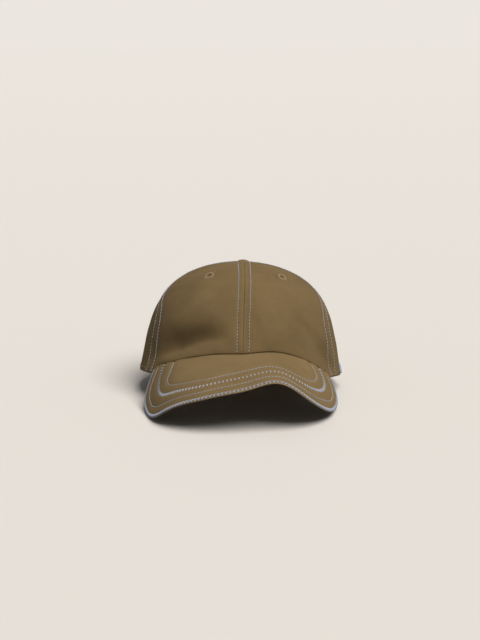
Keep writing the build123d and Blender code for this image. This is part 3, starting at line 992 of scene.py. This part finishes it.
def edge_distance(points, block=4000):
    """Distance of points from the peak's edge, worked out a block at a time."""
    flat = points.reshape(-1, 3)
    result = np.empty(len(flat))
    for start in range(0, len(flat), block):
        part = flat[start : start + block]
        square = (part**2).sum(1)[:, None] + (EDGE**2).sum(1) - 2 * part @ EDGE.T
        result[start : start + block] = np.sqrt(np.maximum(square.min(1), 0))
    return result.reshape(points.shape[:-1])


def row_distance(points):
    """Distance from the edge as the rows of stitching follow it."""
    x, y = points[..., 0], points[..., 1]
    distance = edge_distance(points)
    angle = np.degrees(np.arctan2(x, ROOT_Y - y))
    distance = distance * row_crowding(np.clip(angle, -90, 90))
    side = smooth(np.abs(angle), 42, 62)
    distance = distance + side * np.interp(distance, SIDE_DISTANCES, SIDE_SHIFTS)
    root = smooth(y, -84, -56) * smooth(distance, 8, 18)
    return distance * (1 + np.where(x < 0, 0.26, 0.14) * root)


def deepest_draw(share, limit, steps, outside):
    """The furthest draw up to a limit that is still outside, by halving the interval."""
    low = np.zeros(share.shape)
    high = np.full(share.shape, float(limit))
    for _ in range(steps):
        middle = (low + high) / 2
        still = outside(middle)
        low = np.where(still, middle, low)
        high = np.where(still, high, middle)
    return low


def draw_to_wall(share, inside):
    """How far in the peak reaches before it is a distance inside the crown's wall."""

    def outside(draw):
        x, y = peak_plan(share, draw)
        h = np.clip(peak_height(x, y) / HEIGHT, 0, 0.6)
        wall = crown(np.arctan2(x / HALF_WIDTH, -y / FRONT_REACH), h)
        return np.hypot(x, y) > np.hypot(wall[..., 0], wall[..., 1]) - inside

    return deepest_draw(share, 1, 30, outside)


def draw_to_distance(share, distance):
    """How far in a line at one distance from the edge lies."""
    return deepest_draw(
        share, 0.75, 18, lambda draw: row_distance(peak_face(share, draw)) < distance
    )


def soften(values, width):
    """Running average of a line of numbers, which rounds its sharp turns."""
    reach = np.arange(-2 * width, 2 * width + 1)
    weight = bump(reach, width)
    padded = np.pad(values, 2 * width, mode="edge")
    return np.convolve(padded, weight / weight.sum(), mode="valid")


def slack(point):
    """Slow unevenness of the peak's cloth."""
    return 0.10 * waves(point[..., 0], point[..., 1], scale=30, seed=31)


def channels(point, distance):
    """Relief of the stitched channels: drawn in at the rows, softly full between them."""
    relief = slack(point)
    for number, row in enumerate(ROWS):
        gap = distance - row
        pucker = waves(point[..., 0] * 1.2, point[..., 1], scale=9, seed=60 + number)
        relief = relief - 0.42 * bump(gap, 1.3) + 0.13 * pucker * bump(gap, 4)
    for first, second in zip(ROWS, ROWS[1:] + (ROWS_END,)):
        relief = relief + 0.22 * bump(distance - (first + second) / 2, 3.6)
    return relief - 1.15 * bump(distance, 0.75)


def peak_sheet(name, node, slot_name, material, top, foot, columns, rows, margin=0.0):
    """One layer of the peak; its top and foot are heights over the upper face, or functions."""
    share = np.linspace(0.004, 0.996, columns)[None, :] * np.ones((rows, 1))
    start = draw_to_distance(share[0], margin)
    full = np.maximum(draw_to_wall(share[0], 2.5), start + 0.004)
    draw = start + (full - start) * np.linspace(0, 1, rows)[:, None] ** 1.15
    point = peak_face(share, draw)
    normal = peak_normal(share, draw)
    distance = row_distance(point)
    outer, inner = (
        point + normal * (height(point, distance)[..., None] if callable(height) else height)
        for height in (top, foot)
    )
    uv = point[..., :2] * MM * 1.08
    piece = make_piece(name, node, slot_name, material, *closed_sheet(outer, inner, uv))
    wear = 0.8 * bump(distance - 0.4, 0.9)
    for row in ROWS:
        wear = np.maximum(wear, 0.3 * bump(np.abs(distance - row) - 1.7, 0.8))
    set_wear(piece, np.concatenate([wear.ravel(), wear.ravel()]))


def make_peak_layers():
    """Upper cover with its stitched channels, the board inside and the lower cover."""

    def bottom_top(point, distance):
        return BOTTOM_COVER_TOP + 0.3 * bump(distance, 1.0)

    def bottom_foot(point, distance):
        return PEAK_FOOT + 0.9 * bump(distance, 1.0) - 0.2 * slack(point)

    upper = (channels, TOP_COVER_FOOT, 330, 140)
    board = (BOARD_TOP, BOARD_FOOT, 160, 50, BOARD_MARGIN)
    lower = (bottom_top, bottom_foot, 300, 90)
    # The upper cover takes the twill copy painted lighter, for the light on the level peak.
    peak_sheet("peak_top_cloth", "peak_top_cover", "twill", PEAK_TWILL_PAINTED_LIGHTER, *upper)
    peak_sheet("peak_board_sheet", "peak_board", "peak_board", BOARD_PLASTIC, *board)
    peak_sheet("peak_bottom_cloth", "peak_bottom_cover", "twill", BOTTOM_TWILL, *lower)


def make_peak_stitching():
    """The rows on the peak: zigzag at the edge, bars on the third, lockstitch on the others."""
    for number, row in enumerate(ROWS, 1):
        share = np.linspace(0.002, 0.998, 900)
        draw = draw_to_distance(share, row)
        keep = (draw < draw_to_wall(share, -0.3)) & (draw < 0.74)
        share, draw = share[keep], soften(draw, 9)[keep]
        normals = peak_normal(share, draw)
        points = peak_face(share, draw) - normals * 0.3
        stitch = {1: zigzag_stitches, 3: bar_stitches}.get(number, straight_stitches)
        runs = [stitch(points, normals)]
        node = f"peak_stitch_{number}"
        thread_piece(f"peak_stitching_{number}", node, "contrast_thread", CONTRAST, runs)


# ---- the back closure


def strap_grid(x_low, x_high, low, high, columns=90, rows=14):
    """Angles and height shares of a band across the back."""
    x = np.linspace(x_low, x_high, columns)[None, :]
    h = np.linspace(low, high, rows)[:, None] / HEIGHT + 0 * x
    return back_angle(x, h), h


def make_strap():
    """The strap through the buckle, with its sewn edges and their stitching."""
    phi, h = strap_grid(STRAP_REACH, -STRAP_REACH, STRAP_LOW, STRAP_HIGH)
    side = np.abs(np.linspace(-1, 1, len(h)))[:, None] + 0 * h
    relief = -0.35 * bump(side - 0.84, 0.06) - 0.3 * smooth(side, 0.93, 1)
    wear = 0.6 * smooth(side, 0.85, 1)
    layer = (STRAP_DEPTH + 0.1, STRAP_THICK)
    crown_patch("strap_cloth", "strap", "twill", TWILL, phi, h, *layer, relief, wear)
    runs = []
    for z in (STRAP_LOW + STRAP_STITCH, STRAP_HIGH - STRAP_STITCH):
        phi, h = strap_grid(STRAP_REACH - 2, -STRAP_REACH + 2, z, z, 400, 1)
        normals = crown_normal(phi[0], h[0])
        points = crown(phi[0], h[0]) - normals * (STRAP_DEPTH + 0.3)
        runs.append(straight_stitches(points, normals, pitch=2.8))
    thread_piece("strap_stitching", None, "contrast_thread", CONTRAST, runs)


def buckle_point(x, y, z):
    """Crown-frame point from the buckle's own axes: along the strap, down, and outwards."""
    level, rise = math.cos(BUCKLE_LEAN), math.sin(BUCKLE_LEAN)
    middle = (STRAP_LOW + STRAP_HIGH) / 2
    radius = HALF_WIDTH - (STRAP_DEPTH + middle * rise) / level
    turn = math.asin(BUCKLE_X / radius)
    out = np.array([math.sin(turn) * level, math.cos(turn) * level, rise])
    along = np.array([math.cos(turn), -math.sin(turn), 0])
    down = np.cross(out, along)
    origin = np.array([BUCKLE_X, radius * math.cos(turn), middle])
    x, y, z = (np.asarray(value, float)[..., None] for value in (x, y, z))
    return origin + along * x + down * y + out * z


def make_keeper():
    """Cloth loop round the buckle's last bar, with its tail sewn inside the back panel."""
    wide, high = squarish(full_turn(40), 0.45)
    across = np.linspace(-KEEPER_HALF, KEEPER_HALF, 24)
    ends = smooth(np.abs(across), KEEPER_HALF - 1.2, KEEPER_HALF)
    soft = 0.06 * np.sin(across * 1.7) - 0.25 * ends
    layers = []
    for reach_x, reach_z, swell in ((1.75, 1.45, soft), (1.05, 0.75, 0)):
        x = KEEPER_X + wide[:, None] * (reach_x + swell)
        z = KEEPER_OUT + high[:, None] * (reach_z + swell)
        layers.append(buckle_point(x + 0 * across, across + 0 * x, z + 0 * across).reshape(-1, 3))
    count = len(layers[0])
    grid = np.arange(count).reshape(len(wide), len(across))
    after = np.roll(grid, -1, 0)
    outside = np.stack([grid[:, :-1], grid[:, 1:], after[:, 1:], after[:, :-1]], -1).reshape(-1, 4)
    faces = [outside, outside[:, ::-1] + count]
    for column, turned in ((0, 1), (-1, -1)):
        end = np.stack([grid[:, column], after[:, column]], -1)
        faces.append(np.concatenate([end, end[:, ::-1] + count], -1)[:, ::turned])
    points, faces = np.concatenate(layers), np.concatenate(faces).tolist()
    node, slot_name = "buckle_keeper", "sweatband_cloth"
    make_piece("keeper_loop", node, slot_name, BAND_CLOTH, points, faces)
    phi, h = strap_grid(STRAP_REACH - 1, BUCKLE_X + 16, STRAP_LOW + 1.5, STRAP_HIGH - 1.5, 40, 12)
    crown_patch("keeper_tail", node, slot_name, BAND_CLOTH, phi, h, TAIL_DEPTH, TAIL_THICK)


def finish_metal():
    """Node materials on the metal parts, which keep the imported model's own shapes."""
    for node, material in (
        ("buckle_frame", BRASS),
        ("buckle_lever", BRASS),
        ("buckle_pin", BRASS),
        ("button_core", STEEL),
        ("button_back_plate", STEEL),
    ):
        frame["nodes"][node].data.materials.clear()
        frame["nodes"][node].data.materials.append(material)


def make_side_tab():
    """Plain pale tab sewn at the wearer's left edge."""
    columns, rows = 24, 18
    phi = np.radians(np.linspace(80, 90, columns))[None, :] * np.ones((rows, 1))
    h = np.linspace(0.8, 9.2, rows)[:, None] / HEIGHT + 0 * phi
    x = np.linspace(-1, 1, columns)[None, :]
    z = np.linspace(-1, 1, rows)[:, None]
    rounding = 8
    relief = 1.3 - 0.5 * np.maximum(np.abs(x) ** rounding, np.abs(z) ** rounding)
    crown_patch("side_tab_cloth", "side_label", "side_tab", TAB_CLOTH, phi, h, 0.0, 0.9, relief)


# ---- stage, light and camera

# Painted light: the floor's colour is graded slightly paler and cooler towards the back. The paper
# is one even colour, and the change stands in for how the light falls on it.
FLOOR_NEAR_PAINTED_DARKER = srgb(229, 223, 216)
FLOOR_FAR_PAINTED_PALER = srgb(233, 229, 223)


def make_stage():
    """One wide pale floor that bends up into a wall far behind the cap."""
    half, bend, wall_top = 7.0, 1.0, 5.0
    profile = [(-half, 0.0)]
    for turn in np.linspace(0, math.pi / 2, 13):
        profile.append((half - bend + bend * math.sin(turn), bend - bend * math.cos(turn)))
    profile.append((half, wall_top))
    points = [(x, y, z) for y, z in profile for x in (-half, half)]
    faces = [(i, i + 1, i + 3, i + 2) for i in range(0, len(points) - 2, 2)]
    mesh = bpy.data.meshes.new("sweep")
    mesh.from_pydata(points, [], faces)
    sweep = bpy.data.objects.new("sweep", mesh)
    bpy.context.scene.collection.objects.link(sweep)
    n = Nodes("sweep_paper")
    # Painted light: colour graded paler with distance back along the floor.
    split = n.add("ShaderNodeSeparateXYZ", {"Vector": n.place()})
    depth = n.mapped(split.outputs["Y"], from_min=0.0, from_max=3.5)
    colour = n.mix(depth, FLOOR_NEAR_PAINTED_DARKER, FLOOR_FAR_PAINTED_PALER)
    mesh.materials.append(
        n.surface({"Base Color": colour, "Roughness": 0.95, "Specular IOR Level": 0.0})
    )
    sweep.visible_diffuse = False      # a bright floor would light the cap from below


def direction(side, rise):
    """Unit vector at degrees to the side of straight ahead and degrees above the level."""
    side, rise = math.radians(side), math.radians(rise)
    level = math.cos(rise)
    return Vector((math.sin(side) * level, -math.cos(side) * level, math.sin(rise)))


def soft_sun(name, towards, energy, spread, colour=(1, 1, 1)):
    """A wide, even light that comes from a direction."""
    data = bpy.data.lights.new(name, "SUN")
    data.energy = energy
    data.angle = math.radians(spread)
    data.color = colour
    light = bpy.data.objects.new(name, data)
    light.rotation_euler = towards.to_track_quat("Z", "Y").to_euler()
    bpy.context.scene.collection.objects.link(light)


def make_lights():
    """A soft key from the wearer's left, a weak fill from behind and an even pale surround."""
    soft_sun("key", direction(side=35, rise=58), energy=3.15, spread=42, colour=(1.0, 0.985, 0.965))
    soft_sun("back_fill", Vector((0.1, 1.0, 0.06)), energy=0.6, spread=40)
    world = bpy.data.worlds.new("surround")
    world.use_nodes = True
    background = world.node_tree.nodes["Background"]
    background.inputs["Color"].default_value = (0.97, 0.985, 1.0, 1)
    background.inputs["Strength"].default_value = 0.17
    bpy.context.scene.world = world


def make_camera():
    """A long lens from the front, a little to the wearer's right and above."""
    distance = 1.9
    back = direction(side=-3.0, rise=13.2)
    target = CENTRE + Vector((0, 0.0049, 0.0469))
    data = bpy.data.cameras.new("camera")
    data.lens = 115.7
    data.sensor_width = 36
    camera = bpy.data.objects.new("camera", data)
    camera.location = target + back * distance
    camera.rotation_euler = (-back).to_track_quat("-Z", "Y").to_euler()
    bpy.context.scene.collection.objects.link(camera)
    bpy.context.scene.camera = camera


make_camera()
make_stage()
make_lights()
make_panels()
make_topstitch()
make_eyelets()
make_button()
make_seam_tapes()
make_band()
make_labels()
make_rim_stitch()
make_opening_stitch()
make_binding()
make_peak_layers()
make_peak_stitching()
make_strap()
make_keeper()
finish_metal()
make_side_tab()
bpy.context.scene.view_settings.view_transform = "Standard"
